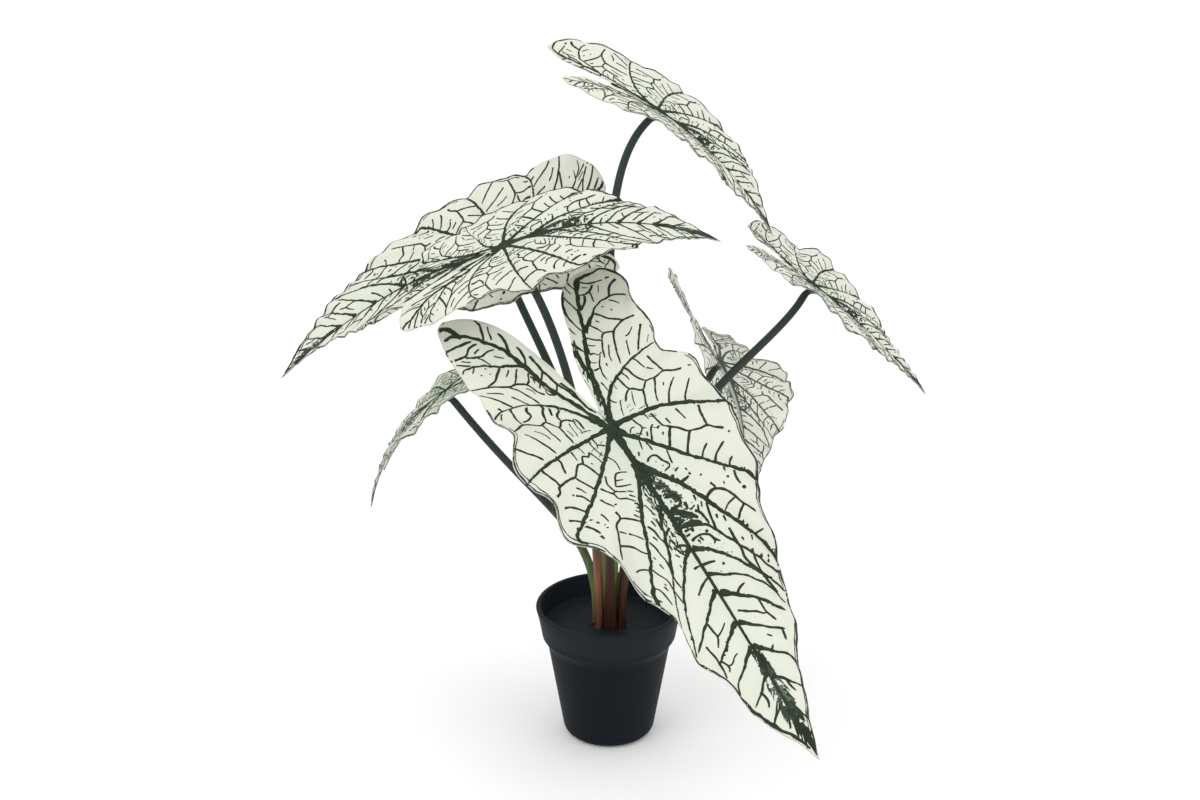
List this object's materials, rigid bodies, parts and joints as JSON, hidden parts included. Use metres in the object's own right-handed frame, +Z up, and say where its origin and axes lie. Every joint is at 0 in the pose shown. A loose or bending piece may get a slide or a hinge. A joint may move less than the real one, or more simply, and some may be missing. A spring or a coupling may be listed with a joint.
{
  "type": "potted alocasia plant",
  "caption": "Artificial aroid with arrow-shaped white leaves and dark printed veins on arching stems, standing in a tapered round black pot.",
  "frame": {"origin": "centre of the pot's underside, where the part rests", "axes": "+Z up along the pot's axis, -Y towards the front of the plant, where the largest leaf hangs, +X to the right seen from the front"},
  "size_m": [0.5762, 0.5555, 0.6007],
  "materials": {
    "pot_black": "satin",
    "fill_black": "matte",
    "printed_leaf": "matte",
    "stem_green": "satin"
  },
  "bodies": {
    "root": {"pot": "pot_black", "fill": "fill_black", "leaf_front_blade": "printed_leaf", "leaf_front_stem": "stem_green", "leaf_left_front_blade": "printed_leaf", "leaf_left_front_stem": "stem_green", "leaf_left_back_blade": "printed_leaf", "leaf_left_back_stem": "stem_green", "leaf_top_blade": "printed_leaf", "leaf_top_stem": "stem_green", "leaf_right_blade": "printed_leaf", "leaf_right_stem": "stem_green", "leaf_right_back_blade": "printed_leaf", "leaf_right_back_stem": "stem_green", "leaf_left_low_blade": "printed_leaf", "leaf_left_low_stem": "stem_green"}
  },
  "joints": []
}
